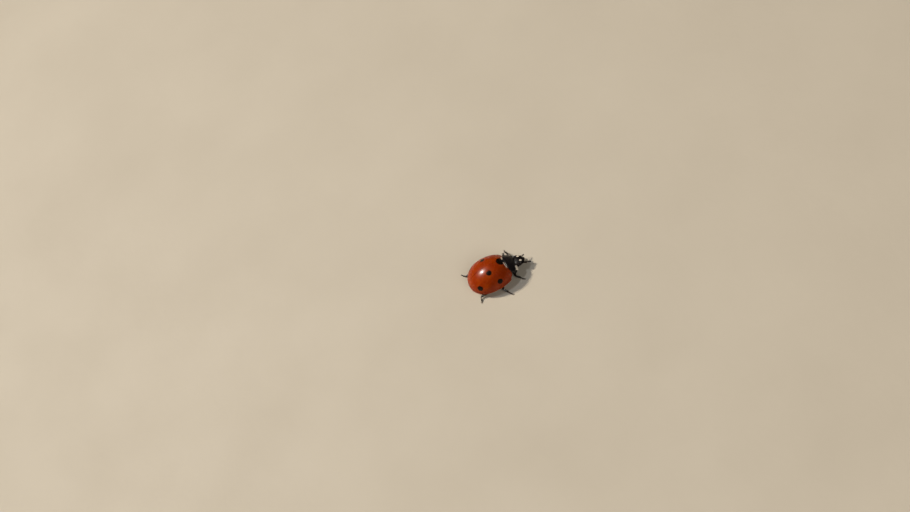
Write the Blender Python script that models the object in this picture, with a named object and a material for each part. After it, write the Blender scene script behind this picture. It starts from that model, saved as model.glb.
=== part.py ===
"""A seven-spot ladybird at life size, a still model that stands on its six feet.

X is the animal's right, Y is forward and Z is up from the floor, in metres. The body is drawn about the middle
of its wing cases, and an empty then carries it back, so that the origin lies under the middle of the whole animal.
"""

import math

import bmesh
import bpy
from mathutils import Matrix, Vector

MM = 0.001

# Driving dimensions
ELYTRA_LENGTH = 5.30 * MM
ELYTRA_WIDTH = 4.77 * MM
DOME_HEIGHT = 2.46 * MM  # from the margin of the wing cases to the top of the back
MARGIN_HEIGHT = 0.80 * MM  # the margin of the wing cases above the floor
SHELL = 0.50 * MM  # thickness of the wing cases
CUT = 0.04 * MM  # the thin cut between two pieces
BELLY_DEPTH = 0.36 * MM  # how far the underside hangs below the margin
BELLY_SPAN = 2.97 * MM
BELLY_LENGTH_POWER = 3.0
BELLY_WIDTH_POWER = 1.8
SEGMENTS = 5  # of the abdomen's underside
SEGMENT_GROOVE = 0.03 * MM
GROOVE_HALF_WIDTH = 0.06 * MM
WAIST_Y = 0.10 * MM  # where the abdomen meets the thorax
THORAX_FRONT_Y = 2.44 * MM
BODY_SHIFT = -1.17 * MM  # the middle of the wing cases lies this far from the origin

# The dome's outline is widest a little ahead of the middle, and its back is highest there too
WIDEST_Y = 0.015 * ELYTRA_LENGTH
HIGHEST_Y = 0.10 * ELYTRA_LENGTH
OUTLINE_FRONT_SPAN = 0.65 * ELYTRA_LENGTH
OUTLINE_REAR_SPAN = 0.515 * ELYTRA_LENGTH
PROFILE_FRONT_SPAN = 0.54 * ELYTRA_LENGTH
PROFILE_REAR_SPAN = 0.60 * ELYTRA_LENGTH
OUTLINE_FRONT_POWER = 2.3
OUTLINE_REAR_POWER = 2.15
DOME_POWER = 1.95
FRONT_INSET_SHARE = 0.35  # an inner dome is drawn in less at its open front end

# The front edge of each wing case lies back at the scutellum, comes forward beside it and rounds off the shoulder
EDGE_START = -0.15 * MM
EDGE_LEAD = 0.70 * MM
EDGE_LEAD_POWER = 2.6
EDGE_ROUNDING = 0.80 * MM
EDGE_ROUNDING_POWER = 10
SHOULDER_Y = 2.79 * MM  # the front of the shoulders, where the dome turns down
SHOULDER_DROP = 0.40
SHOULDER_REACH = 0.30 * MM

# The pronotum, the shield behind the head, which slopes down from its rear edge to its front edge
PRONOTUM_HALF_WIDTH = 1.40 * MM
PRONOTUM_SHIFT = 0.10 * MM  # the walking beetle carries it a little to the right
PRONOTUM_WIDEST_Y = 3.05 * MM
PRONOTUM_REAR_REACH = 0.50 * MM
PRONOTUM_FRONT_REACH = 0.86 * MM
PRONOTUM_NOTCH = 0.27 * MM  # how far the front edge is hollowed round the head
PRONOTUM_REAR_Z = 2.55 * MM
PRONOTUM_FALL = 0.80 * MM
PRONOTUM_MARGIN_REAR_Z = 1.45 * MM
PRONOTUM_MARGIN_FALL = 0.50 * MM
PRONOTUM_REAR_THICKNESS = 0.45 * MM
PRONOTUM_FRONT_THICKNESS = 0.25 * MM
PRONOTUM_REAR_POWER = 2.3
PRONOTUM_FRONT_POWER = 3.2
PRONOTUM_ARCH_POWER = 2.3
PRONOTUM_EDGE_POWER = 0.7  # under 1, it squares the thickness off towards the edges
PRONOTUM_FALL_POWER = 1.2
PRONOTUM_SIDE_THINNING = 0.3
NOTCH_WIDTH = 0.55  # a share of the half-width

# The scutellum, the small triangle between the bases of the wing cases
SCUTELLUM_HALF_WIDTH = 0.26 * MM
SCUTELLUM_FRONT_Y = 2.47 * MM
SCUTELLUM_TIP_Y = 2.08 * MM

# Rings along Y, each one (y, middle z, half-width, half-height) in millimetres
HEAD_RINGS = (
    (3.48, 1.05, 0.58, 0.33),
    (3.66, 1.07, 0.69, 0.36),
    (3.90, 1.09, 0.74, 0.43),
    (4.20, 1.07, 0.70, 0.48),
    (4.45, 1.01, 0.62, 0.47),
    (4.65, 0.93, 0.50, 0.39),
    (4.82, 0.83, 0.38, 0.27),
    (4.92, 0.78, 0.31, 0.17),
)
PROTHORAX_RINGS = (
    (2.49, 1.15, 0.90, 0.64),
    (2.78, 1.16, 1.04, 0.66),
    (3.02, 1.11, 1.03, 0.60),
    (3.22, 1.04, 0.90, 0.50),
    (3.36, 1.00, 0.70, 0.40),
)
HEAD_TURN = math.radians(8)  # the head looks a little to the left, about the neck
NECK = (0.06 * MM, 3.95 * MM)
EYE_CENTRE = (0.64 * MM, 4.20 * MM, 1.14 * MM)
EYE_RADII = (0.15 * MM, 0.24 * MM, 0.22 * MM)

# Feelers and mouthparts: centre line points and radii in millimetres, those of the right side with X out
ANTENNA_RIGHT = ((0.50, 4.46, 1.02), (0.56, 4.69, 0.94), (0.60, 4.92, 0.82), (0.71, 5.26, 0.66))
ANTENNA_LEFT = ((0.50, 4.46, 1.02), (0.54, 4.68, 0.97), (0.49, 4.86, 0.90), (0.42, 5.03, 0.85))
ANTENNA_RADII = (0.18, 0.18, 0.20, 0.24)
PALP_POINTS = ((0.25, 4.54, 0.56), (0.32, 4.70, 0.47), (0.38, 4.86, 0.43))
PALP_RADII = (0.13, 0.16, 0.20)
MANDIBLE_POINTS = ((0.13, 4.62, 0.66), (0.12, 4.86, 0.58), (0.06, 5.02, 0.58))
MANDIBLE_RADII = (0.09, 0.10, 0.05)
LABRUM_HALF_WIDTH = 0.24 * MM
LABRUM_REAR_Y = 4.96 * MM
LABRUM_LENGTH = 0.12 * MM
LABRUM_HALF_HEIGHT = 0.09 * MM
LABRUM_Z = 0.78 * MM

# Legs: hip, knee, ankle and toe in millimetres, with X out from the middle of the body
LEGS = {
    "front_left": ((0.45, 3.06, 0.50), (1.64, 3.42, 0.54), (2.26, 3.33, 0.32), (2.68, 3.23, 0.20)),
    "front_right": ((0.45, 3.06, 0.50), (1.60, 3.05, 0.54), (1.93, 3.52, 0.32), (2.18, 3.84, 0.20)),
    "middle_left": ((0.75, 1.38, 0.42), (1.64, 2.38, 0.45), (2.07, 2.84, 0.30), (2.42, 2.88, 0.20)),
    "middle_right": ((0.85, 1.50, 0.42), (2.42, 0.92, 0.47), (2.98, 1.36, 0.30), (3.38, 1.68, 0.20)),
    "hind_left": ((0.80, 0.46, 0.42), (1.50, -1.15, 0.47), (1.82, -2.52, 0.30), (2.32, -2.88, 0.20)),
    "hind_right": ((0.80, 0.46, 0.42), (1.95, -0.75, 0.47), (1.80, -1.96, 0.30), (2.36, -2.12, 0.20)),
}
FEMUR_RADII = (0.22, 0.27, 0.28, 0.26, 0.23)
TIBIA_RADII = (0.22, 0.24, 0.24, 0.23)
TARSUS_RADII = (0.22, 0.23, 0.24, 0.24)

# Colours as linear red, green and blue, with a roughness
RED = ((0.26, 0.020, 0.002), 0.22)
BLACK = ((0.010, 0.007, 0.006), 0.32)
DULL_BLACK = ((0.012, 0.009, 0.008), 0.50)
EYE_BLACK = ((0.006, 0.005, 0.005), 0.18)
BROWN = ((0.050, 0.024, 0.011), 0.45)


def superellipse(reach, power):
    """The rounded fall from 1 at reach 0 down to 0 at reach 1."""
    return max(0.0, 1.0 - abs(reach) ** power) ** (1.0 / power)


def dome_half_width(y, inset):
    """Half the width at the margin of a dome drawn this far inside the wing cases' outer face."""
    if y > WIDEST_Y:
        span = OUTLINE_FRONT_SPAN - FRONT_INSET_SHARE * inset
        fall = superellipse((y - WIDEST_Y) / span, OUTLINE_FRONT_POWER)
    else:
        fall = superellipse((WIDEST_Y - y) / (OUTLINE_REAR_SPAN - inset), OUTLINE_REAR_POWER)
    return (ELYTRA_WIDTH / 2 - inset) * fall


def dome_height(y, inset):
    """The height of the same dome above the margin, along its middle."""
    if y > HIGHEST_Y:
        span = PROFILE_FRONT_SPAN - FRONT_INSET_SHARE * inset
        reach = (y - HIGHEST_Y) / span
    else:
        reach = (HIGHEST_Y - y) / (PROFILE_REAR_SPAN - inset)
    return (DOME_HEIGHT - inset) * superellipse(reach, DOME_POWER)


def edge_sweep(share_out):
    """How far the front edge of a wing case leads or trails, from the suture at 0 to the margin at 1."""
    lead = EDGE_LEAD * share_out**EDGE_LEAD_POWER
    return EDGE_START + lead - EDGE_ROUNDING * share_out**EDGE_ROUNDING_POWER


def shoulder_fall(share_out, y):
    """The share of its height that the dome keeps as it turns down towards the front of the shoulders."""
    return 1.0 - SHOULDER_DROP * share_out**2 * math.exp((y - SHOULDER_Y) / SHOULDER_REACH)


def paint(obj, finish):
    colour, roughness = finish
    material = bpy.data.materials.new(obj.name)
    material.use_nodes = True
    shader = material.node_tree.nodes["Principled BSDF"]
    shader.inputs["Base Color"].default_value = (*colour, 1.0)
    shader.inputs["Roughness"].default_value = roughness
    shader.inputs["Metallic"].default_value = 0.0
    obj.data.materials.append(material)


def make_object(name, shape, finish=None, carrier=None):
    """An object from a bmesh whose faces close up. With no finish it is a cutter, which isn't part of the model."""
    bmesh.ops.recalc_face_normals(shape, faces=shape.faces[:])
    mesh = bpy.data.meshes.new(name)
    shape.to_mesh(mesh)
    shape.free()
    mesh.shade_smooth()
    mesh.set_sharp_from_angle(angle=math.radians(50))
    obj = bpy.data.objects.new(name, mesh)
    bpy.context.scene.collection.objects.link(obj)
    obj.parent = carrier or stand
    if carrier:
        obj.matrix_parent_inverse = Matrix.Translation((0, -NECK[1], 0))
    if finish:
        paint(obj, finish)
    else:
        obj.hide_render = True
        obj.display_type = "WIRE"
    return obj


def carve(obj, cutters):
    for cutter in cutters:
        modifier = obj.modifiers.new("room for " + cutter.name, "BOOLEAN")
        modifier.operation = "DIFFERENCE"
        modifier.solver = "EXACT"
        modifier.object = cutter
        modifier.use_self = True  # the cuts before this one leave points too close together for it otherwise


def loft(rings, start_pole=None, end_pole=None):
    """A closed skin over rings of equally many points. Each end is a flat face, or comes to its pole."""
    shape = bmesh.new()
    rows = [[shape.verts.new(point) for point in ring] for ring in rings]
    count = len(rows[0])
    for near, far in zip(rows, rows[1:]):
        for k in range(count):
            following = (k + 1) % count
            shape.faces.new((near[k], near[following], far[following], far[k]))
    for row, pole in ((rows[0], start_pole), (rows[-1], end_pole)):
        if pole is None:
            shape.faces.new(row)
            continue
        tip = shape.verts.new(pole)
        for k in range(count):
            shape.faces.new((row[k], row[(k + 1) % count], tip))
    return shape


def slab(outer, inner):
    """A closed skin between two grids of points that have equally many rows and columns."""
    shape = bmesh.new()
    grids = [[[shape.verts.new(point) for point in row] for row in grid] for grid in (outer, inner)]
    last_row, last_column = len(outer) - 1, len(outer[0]) - 1
    for grid in grids:
        for i in range(last_row):
            for j in range(last_column):
                shape.faces.new((grid[i][j], grid[i + 1][j], grid[i + 1][j + 1], grid[i][j + 1]))
    edge = [(i, 0) for i in range(last_row)]
    edge += [(last_row, j) for j in range(last_column)]
    edge += [(i, last_column) for i in range(last_row, 0, -1)]
    edge += [(0, j) for j in range(last_column, 0, -1)]
    for (i, j), (k, m) in zip(edge, edge[1:] + edge[:1]):
        shape.faces.new((grids[0][i][j], grids[0][k][m], grids[1][k][m], grids[1][i][j]))
    return shape


def wing_case_grid(side, inset, rows=18, columns=12):
    """One face of a wing case, from its front edge to its tip and from the suture to the margin."""
    nearly_all = 0.9995  # the last row stops just short of the tip, where the width would be nothing
    length = ELYTRA_LENGTH - inset
    grid = []
    for i in range(rows + 1):
        share_back = math.sin(math.pi / 2 * i / rows) * nearly_all
        row = []
        for j in range(columns + 1):
            share_out = math.sin(math.pi / 2 * j / columns)
            y = ELYTRA_LENGTH / 2 - length * share_back + edge_sweep(share_out) * (1 - share_back) ** 3
            half_width = dome_half_width(y, inset)
            x = CUT / 2 + (half_width - CUT / 2) * share_out
            z = dome_height(y, inset) * superellipse(share_out, DOME_POWER) * shoulder_fall(share_out, y)
            row.append((side * x, y, MARGIN_HEIGHT + z))
        grid.append(row)
    return grid


def scutellum_shape(extra):
    """The triangle, as thick as a wing case, following the slope of the back. Extra widens it on all sides."""
    front, tip = SCUTELLUM_FRONT_Y + extra, SCUTELLUM_TIP_Y - extra
    rings = []
    for depth in (-extra, SHELL - CUT + extra):
        ring = []
        for x, y in ((1, front), (0.62, (front + tip) / 2), (0, tip), (-0.62, (front + tip) / 2), (-1, front)):
            z = MARGIN_HEIGHT + dome_height(y, 0) - depth
            ring.append((x * (SCUTELLUM_HALF_WIDTH + extra), y, z))
        rings.append(ring)
    return loft(rings)


def make_wing_cases():
    room = make_object("cut_scutellum", scutellum_shape(CUT))
    for name, side in (("elytron_left", -1), ("elytron_right", 1)):
        shape = slab(wing_case_grid(side, 0), wing_case_grid(side, SHELL))
        carve(make_object(name, shape, RED), [room])
    make_object("scutellum", scutellum_shape(0), BLACK)


def belly_ring(y, groove, sides=28):
    """A ring of the trunk: the room under the wing cases above, and a shallow keel below. The groove draws it in."""
    inset = SHELL + CUT
    half_width = dome_half_width(y, inset) - groove
    height = dome_height(y, inset) - groove
    ring = []
    for k in range(sides):
        angle = 2 * math.pi * k / sides
        across = math.cos(angle)
        if math.sin(angle) >= 0:
            z = height * superellipse(across, DOME_POWER) * shoulder_fall(across, y)
        else:
            keel = BELLY_DEPTH * superellipse(y / BELLY_SPAN, BELLY_LENGTH_POWER)
            z = (groove - keel) * superellipse(across, BELLY_WIDTH_POWER)
        ring.append((half_width * across, y, MARGIN_HEIGHT + z))
    return ring


def make_trunk(femurs):
    """The thorax and the abdomen, which fill the wing cases, with room for the upper legs."""
    thorax_stations = (THORAX_FRONT_Y, 2.0 * MM, 1.5 * MM, 1.0 * MM, 0.55 * MM, WAIST_Y + CUT)
    thorax = make_object("thorax", loft([belly_ring(y, 0) for y in thorax_stations]), BLACK)
    carve(thorax, [femurs[leg] for leg in femurs if not leg.startswith("front")])

    rear_end = -ELYTRA_LENGTH / 2 + SHELL + CUT
    rings = [belly_ring(WAIST_Y, 0)]
    for k in range(1, SEGMENTS + 1):
        joint_y = WAIST_Y + (rear_end - WAIST_Y) * math.sin(math.pi / 2 * k / (SEGMENTS + 1))
        rings.append(belly_ring(joint_y + GROOVE_HALF_WIDTH, 0))
        rings.append(belly_ring(joint_y, SEGMENT_GROOVE))
        rings.append(belly_ring(joint_y - GROOVE_HALF_WIDTH, 0))
    tail = (0, rear_end, MARGIN_HEIGHT)
    abdomen = make_object("abdomen", loft(rings, end_pole=tail), BLACK)
    carve(abdomen, [femurs[leg] for leg in femurs if leg.startswith("hind")])


def pronotum_ring(across, sides=22):
    """A fore-and-aft section of the pronotum, at a share of its half-width from the middle."""
    rear_mid = PRONOTUM_WIDEST_Y - PRONOTUM_REAR_REACH
    front_mid = PRONOTUM_WIDEST_Y + PRONOTUM_FRONT_REACH - PRONOTUM_NOTCH
    rear = PRONOTUM_WIDEST_Y - PRONOTUM_REAR_REACH * superellipse(across, PRONOTUM_REAR_POWER)
    notch = PRONOTUM_NOTCH * math.exp(-((across / NOTCH_WIDTH) ** 2))
    front = PRONOTUM_WIDEST_Y + PRONOTUM_FRONT_REACH * superellipse(across, PRONOTUM_FRONT_POWER) - notch
    ring = []
    for k in range(sides):
        angle = 2 * math.pi * k / sides
        along = math.copysign(abs(math.cos(angle)) ** PRONOTUM_EDGE_POWER, math.cos(angle))
        up = math.copysign(abs(math.sin(angle)) ** PRONOTUM_EDGE_POWER, math.sin(angle))
        y = (front + rear) / 2 + (front - rear) / 2 * along
        forward = max(0.0, (y - rear_mid) / (front_mid - rear_mid))
        ridge = PRONOTUM_REAR_Z - PRONOTUM_FALL * forward**PRONOTUM_FALL_POWER
        margin = PRONOTUM_MARGIN_REAR_Z - PRONOTUM_MARGIN_FALL * forward
        top = margin + (ridge - margin) * superellipse(across, PRONOTUM_ARCH_POWER)
        thinning = (PRONOTUM_REAR_THICKNESS - PRONOTUM_FRONT_THICKNESS) * min(1.0, forward)
        thickness = (PRONOTUM_REAR_THICKNESS - thinning) * (1 - PRONOTUM_SIDE_THINNING * across**2)
        z = top - thickness / 2 + thickness / 2 * up
        ring.append((PRONOTUM_HALF_WIDTH * across + PRONOTUM_SHIFT, y, z))
    return ring


def make_pronotum():
    stations = 16
    nearly_all = 0.995  # the end sections stop just short of the corners, where they would be nothing
    shares = [math.sin(math.pi / 2 * (2 * k / stations - 1)) * nearly_all for k in range(stations + 1)]
    make_object("pronotum", loft([pronotum_ring(share) for share in shares]), BLACK)


def oval_rings(table, sides=20, power=2.3):
    """Rings across the body from a table of (y, middle z, half-width, half-height) in millimetres."""
    rings = []
    for y, middle, half_width, half_height in table:
        ring = []
        for k in range(sides):
            angle = 2 * math.pi * k / sides
            across, up = math.cos(angle), math.sin(angle)
            x = half_width * math.copysign(abs(across) ** (2 / power), across)
            z = middle + half_height * math.copysign(abs(up) ** (2 / power), up)
            ring.append((x * MM, y * MM, z * MM))
        rings.append(ring)
    return rings


def eye_shape(side, extra):
    shape = bmesh.new()
    bmesh.ops.create_uvsphere(shape, u_segments=14, v_segments=9, radius=1)
    for vert in shape.verts:
        for axis in range(3):
            vert.co[axis] *= EYE_RADII[axis] + extra
        vert.co += Vector((side * EYE_CENTRE[0], EYE_CENTRE[1], EYE_CENTRE[2]))
    return shape


def circle(centre, direction, radius, plane_point, plane_normal, sides):
    """A round tube's outline where a plane cuts it, square on or at a mitre."""
    across = direction.cross(Vector((0, 0, 1))).normalized()
    upward = across.cross(direction)
    points = []
    for k in range(sides):
        angle = 2 * math.pi * k / sides
        point = centre + radius * (math.cos(angle) * across + math.sin(angle) * upward)
        slide = (plane_point - point).dot(plane_normal) / direction.dot(plane_normal)
        points.append(point + direction * slide)
    return points


def limb(start, end, radii, before=None, after=None, extra=0.0, sides=10):
    """One straight length of a limb. It is mitred to the length before and after it, and rounded where there is none."""
    direction = (end - start).normalized()
    rings = []
    start_pole = end_pole = None
    reach = [radius * MM + extra for radius in radii]
    first, last = start, end
    if before is None:
        start_pole = start - direction * reach[0] * 0.9
        for angle in (65, 35):
            back, size = math.sin(math.radians(angle)), math.cos(math.radians(angle))
            middle = start - direction * back * reach[0] * 0.9
            rings.append(circle(middle, direction, reach[0] * size, middle, direction, sides))
    else:
        normal = (direction + before).normalized()
        first = start + direction * (CUT / 2 - extra)
        rings.append(circle(first, direction, reach[0], first, normal, sides))
    inner = range(0 if before is None else 1, len(reach) - (0 if after is None else 1))
    for k in inner:
        middle = first.lerp(last, k / (len(reach) - 1))
        rings.append(circle(middle, direction, reach[k], middle, direction, sides))
    if after is None:
        for angle in (35, 65):
            ahead, size = math.sin(math.radians(angle)), math.cos(math.radians(angle))
            middle = end + direction * ahead * reach[-1] * 0.9
            rings.append(circle(middle, direction, reach[-1] * size, middle, direction, sides))
        end_pole = end + direction * reach[-1] * 0.9
    else:
        normal = (direction + after).normalized()
        last = end - direction * (CUT / 2 - extra)
        rings.append(circle(last, direction, reach[-1], last, normal, sides))
    return loft(rings, start_pole, end_pole)


def stand_on_floor(shape):
    """Flattens the sole of a foot where it would reach below the floor."""
    for vert in shape.verts:
        vert.co.z = max(vert.co.z, 0.0)
    return shape


def mirrored(points, side):
    return [Vector((side * x, y, z)) * MM for x, y, z in points]


def make_legs():
    """All the legs, and the cutters that make room for the femurs in the trunk."""
    femur_room = {}
    for leg, points in LEGS.items():
        side = -1 if leg.endswith("left") else 1
        hip, knee, ankle, toe = mirrored(points, side)
        thigh, shin, foot = (knee - hip).normalized(), (ankle - knee).normalized(), (toe - ankle).normalized()
        make_object("femur_" + leg, limb(hip, knee, FEMUR_RADII, after=shin), BLACK)
        make_object("tibia_" + leg, limb(knee, ankle, TIBIA_RADII, before=thigh, after=foot), BLACK)
        make_object("tarsus_" + leg, stand_on_floor(limb(ankle, toe, TARSUS_RADII, before=shin)), BROWN)
        femur_room[leg] = make_object("cut_femur_" + leg, limb(hip, knee, FEMUR_RADII, after=shin, extra=CUT))
    return femur_room


def bent_limb(points, radii, extra=0.0, sides=10):
    """A bent length in one piece, rounded at both ends."""
    reach = [radius * MM + extra for radius in radii]
    steps = [(b - a).normalized() for a, b in zip(points, points[1:])]
    headings = [steps[0]] + [(a + b).normalized() for a, b in zip(steps, steps[1:])] + [steps[-1]]
    rings = []
    for angle in (65, 35):
        back, size = math.sin(math.radians(angle)), math.cos(math.radians(angle))
        middle = points[0] - headings[0] * back * reach[0]
        rings.append(circle(middle, headings[0], reach[0] * size, middle, headings[0], sides))
    for point, heading, radius in zip(points, headings, reach):
        rings.append(circle(point, heading, radius, point, heading, sides))
    for angle in (35, 65):
        ahead, size = math.sin(math.radians(angle)), math.cos(math.radians(angle))
        middle = points[-1] + headings[-1] * ahead * reach[-1]
        rings.append(circle(middle, headings[-1], reach[-1] * size, middle, headings[-1], sides))
    return loft(rings, points[0] - headings[0] * reach[0], points[-1] + headings[-1] * reach[-1])


def make_labrum():
    """The upper lip, a small plate before the front edge of the head."""
    rings = []
    for share in (0.0, 0.5, 1.0):
        taper = 1 - 0.35 * share**2
        y = LABRUM_REAR_Y + LABRUM_LENGTH * share
        half_width, half_height = LABRUM_HALF_WIDTH * taper, LABRUM_HALF_HEIGHT * taper
        rings.append((y / MM, LABRUM_Z / MM, half_width / MM, half_height / MM))
    make_object("labrum", loft(oval_rings(rings, sides=12)), DULL_BLACK, neck)


def head_pieces(side, extra):
    """The eye, feeler and mouthparts of one side of the head, each with its colour. Extra widens them all round."""
    antenna = ANTENNA_LEFT if side < 0 else ANTENNA_RIGHT
    return {
        "eye": (eye_shape(side, extra), EYE_BLACK),
        "antenna": (bent_limb(mirrored(antenna, side), ANTENNA_RADII, extra), BROWN),
        "palp": (bent_limb(mirrored(PALP_POINTS, side), PALP_RADII, extra), DULL_BLACK),
        "mandible": (bent_limb(mirrored(MANDIBLE_POINTS, side), MANDIBLE_RADII, extra, sides=8), BROWN),
    }


def make_head():
    """The head capsule with sockets, and the eyes, feelers and mouthparts set in them."""
    sockets = []
    for word, side in (("left", -1), ("right", 1)):
        for piece, (shape, finish) in head_pieces(side, 0.0).items():
            make_object(piece + "_" + word, shape, finish, neck)
        for piece, (shape, _) in head_pieces(side, CUT).items():
            sockets.append(make_object("cut_" + piece + "_" + word, shape, None, neck))
    make_labrum()
    carve(make_object("head", loft(oval_rings(HEAD_RINGS)), BLACK, neck), sockets)


for old in list(bpy.data.objects):
    bpy.data.objects.remove(old)
stand = bpy.data.objects.new("ladybird", None)
bpy.context.scene.collection.objects.link(stand)
stand.location.y = BODY_SHIFT
neck = bpy.data.objects.new("neck", None)
bpy.context.scene.collection.objects.link(neck)
neck.parent = stand
neck.location = (NECK[0], NECK[1], 0)
neck.rotation_euler.z = HEAD_TURN

make_wing_cases()
make_pronotum()
femur_room = make_legs()
make_trunk(femur_room)
prothorax = make_object("prothorax", loft(oval_rings(PROTHORAX_RINGS)), BLACK)
carve(prothorax, [femur_room[leg] for leg in femur_room if leg.startswith("front")])
make_head()
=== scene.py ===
# A seven-spot ladybird at life size: shells, head, legs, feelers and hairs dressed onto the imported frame.
# Everything is modelled in millimetres about the middle of the wing cases, then set into the frame in metres.
import math

import bmesh
import bpy
import numpy as np
from mathutils import Matrix, Vector


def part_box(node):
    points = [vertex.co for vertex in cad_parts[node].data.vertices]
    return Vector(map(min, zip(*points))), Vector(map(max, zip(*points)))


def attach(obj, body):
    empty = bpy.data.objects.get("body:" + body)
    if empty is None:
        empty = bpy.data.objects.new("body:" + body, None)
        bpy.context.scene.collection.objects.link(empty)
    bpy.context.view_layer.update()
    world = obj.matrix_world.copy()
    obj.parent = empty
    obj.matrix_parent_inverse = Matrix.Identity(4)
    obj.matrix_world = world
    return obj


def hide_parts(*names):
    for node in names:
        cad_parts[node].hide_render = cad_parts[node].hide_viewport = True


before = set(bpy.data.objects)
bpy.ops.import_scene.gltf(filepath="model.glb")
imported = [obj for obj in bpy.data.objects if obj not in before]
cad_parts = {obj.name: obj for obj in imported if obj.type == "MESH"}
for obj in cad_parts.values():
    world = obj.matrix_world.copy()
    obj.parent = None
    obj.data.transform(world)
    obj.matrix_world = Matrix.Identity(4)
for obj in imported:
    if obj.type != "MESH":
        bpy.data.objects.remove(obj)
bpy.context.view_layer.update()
mm = 0.001
mergeGap = 0.0008
sides = {"left": -1, "right": 1}
legNames = ["front_left", "front_right", "middle_left", "middle_right", "hind_left", "hind_right"]

# ---- the wing cases' sizes, which place everything else
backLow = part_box("elytron_left")[0] / mm
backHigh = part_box("elytron_right")[1] / mm
wingCase = {
    "length": 5.30,
    "width": backHigh.x - backLow.x,
    "height": backHigh.z - backLow.z,
    "marginHeight": backLow.z,
    "rows": 60,
    "columns": 193,
    "crowding": 1.7,        # closer columns towards the edge
    "lip": 0.06,            # the share of the rows that closes the front edge
    "shell": 0.50,          # width of the turned-in edge underneath
    "hollow": 0.05,         # of the turned-in edge
    "seam": 0.014,          # between the two cases
    "widest": 0.015,        # shares of the length, forward of the middle
    "highest": 0.10,
    "frontSpan": 0.65,
    "rearSpan": 0.515,
    "frontPower": 2.3,
    "rearPower": 2.15,
    "profileFront": 0.54,
    "profileRear": 0.60,
    "domePower": 1.95,
    "frontInset": 0.35,     # the inner dome is drawn in less at the open front
    "edgeStart": -0.15,     # the front edge lies back at the scutellum,
    "edgeLead": 0.70,       # comes forward beside it,
    "edgeLeadPower": 2.6,
    "edgeRounding": 0.80,   # and rounds off the shoulder
    "edgeRoundingPower": 10.0,
    "shoulderPlace": 2.79,  # the front of the shoulders, where the dome turns down
    "shoulderDrop": 0.40,
    "shoulderReach": 0.30,
    "rimDepth": 0.055,      # the groove above the flared edge
    "rimPlace": 0.080,
    "rimWidth": 0.036,
}
middleOfBody = Vector((0, backLow.y + wingCase["length"] / 2, 0))
intoFrame = Matrix.Scale(mm, 4) @ Matrix.Translation(middleOfBody)


def toBody(point):
    return Vector(point) / mm - middleOfBody


def bodyBox(node):
    return [toBody(corner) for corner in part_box(node)]


# ---- helpers for node trees
def fieldMethod(operation, turned=False):
    return lambda field, *others: field.calc(operation, *others, turned=turned)


class Field:
    # a number in a node tree that takes ordinary arithmetic
    def __init__(self, socket):
        self.socket = socket
        self.tree = socket.id_data

    def calc(self, operation, *others, turned=False):
        node = self.tree.nodes.new("ShaderNodeMath")
        node.operation = operation
        values = [*reversed(others), self] if turned else [self, *others]
        for slot, value in zip(node.inputs, values):
            plug(slot, value)
        return Field(node.outputs[0])

    __add__ = __radd__ = fieldMethod("ADD")
    __sub__ = fieldMethod("SUBTRACT")
    __rsub__ = fieldMethod("SUBTRACT", turned=True)
    __mul__ = __rmul__ = fieldMethod("MULTIPLY")
    __truediv__ = fieldMethod("DIVIDE")
    __rtruediv__ = fieldMethod("DIVIDE", turned=True)
    __pow__ = fieldMethod("POWER")
    sine = fieldMethod("SINE")
    size = fieldMethod("ABSOLUTE")
    fraction = fieldMethod("FRACT")
    exponent = fieldMethod("EXPONENT")
    above = fieldMethod("GREATER_THAN")
    least = fieldMethod("MINIMUM")
    most = fieldMethod("MAXIMUM")

    def held(self):
        return self.most(0.0).least(1.0)


def plug(slot, value):
    # a link for a field or a socket, and a set value for anything else
    if isinstance(value, Field):
        value = value.socket
    if isinstance(value, bpy.types.NodeSocket):
        slot.id_data.links.new(value, slot)
    else:
        slot.default_value = value


def addNode(tree, kind, inputs=None, **settings):
    node = tree.nodes.new(kind)
    for key, value in settings.items():
        setattr(node, key, value)
    for key, value in (inputs or {}).items():
        plug(node.inputs[key], value)
    return node


def outputOf(tree, kind, inputs=None, **settings):
    return addNode(tree, kind, inputs, **settings).outputs[0]


def vectorMath(operation, first, second):
    slot = "Scale" if operation == "SCALE" else 1
    return outputOf(first.id_data, "ShaderNodeVectorMath", {0: first, slot: second}, operation=operation)


def combined(x, y, z):
    return outputOf(x.tree, "ShaderNodeCombineXYZ", {"X": x, "Y": y, "Z": z})


def separated(vector):
    node = addNode(vector.id_data, "ShaderNodeSeparateXYZ", {"Vector": vector})
    return [Field(part) for part in node.outputs]


def roundFall(reach, power):
    # 1 at reach 0, falling in a rounded way to 0 at reach 1, for a field or a number
    if isinstance(reach, Field):
        return (1.0 - reach.size() ** power).most(0.0) ** (1.0 / power)
    return max(0.0, 1.0 - abs(reach) ** power) ** (1.0 / power)


def hill(reach):
    # a smooth bump that is 1 at 0 and gone by about 2
    if isinstance(reach, Field):
        return (reach * reach * -1.0).exponent()
    return math.exp(-reach * reach)


def smoothBetween(value, low, high):
    # 0 below low and 1 above high, eased at both ends
    inputs = {"Value": value, "From Min": low, "From Max": high}
    eased = outputOf(value.tree, "ShaderNodeMapRange", inputs, interpolation_type="SMOOTHSTEP")
    return Field(eased)


def newGeometryTree(name, sizes, vectors=()):
    tree = bpy.data.node_groups.new(name, "GeometryNodeTree")

    def addSlot(key, kind, way="INPUT"):
        return tree.interface.new_socket(key, in_out=way, socket_type="NodeSocket" + kind)

    addSlot("Geometry", "Geometry")
    for key, value in sizes.items():
        addSlot(key, "Int" if isinstance(value, int) else "Float").default_value = value
    for key in vectors:
        addSlot(key, "Vector")
    addSlot("Material", "Material")
    addSlot("Geometry", "Geometry", "OUTPUT")
    given = tree.nodes.new("NodeGroupInput")
    inputs = {slot.name: slot for slot in given.outputs if slot.name}
    for key in sizes:
        inputs[key] = Field(inputs[key])
    return tree, inputs


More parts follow.
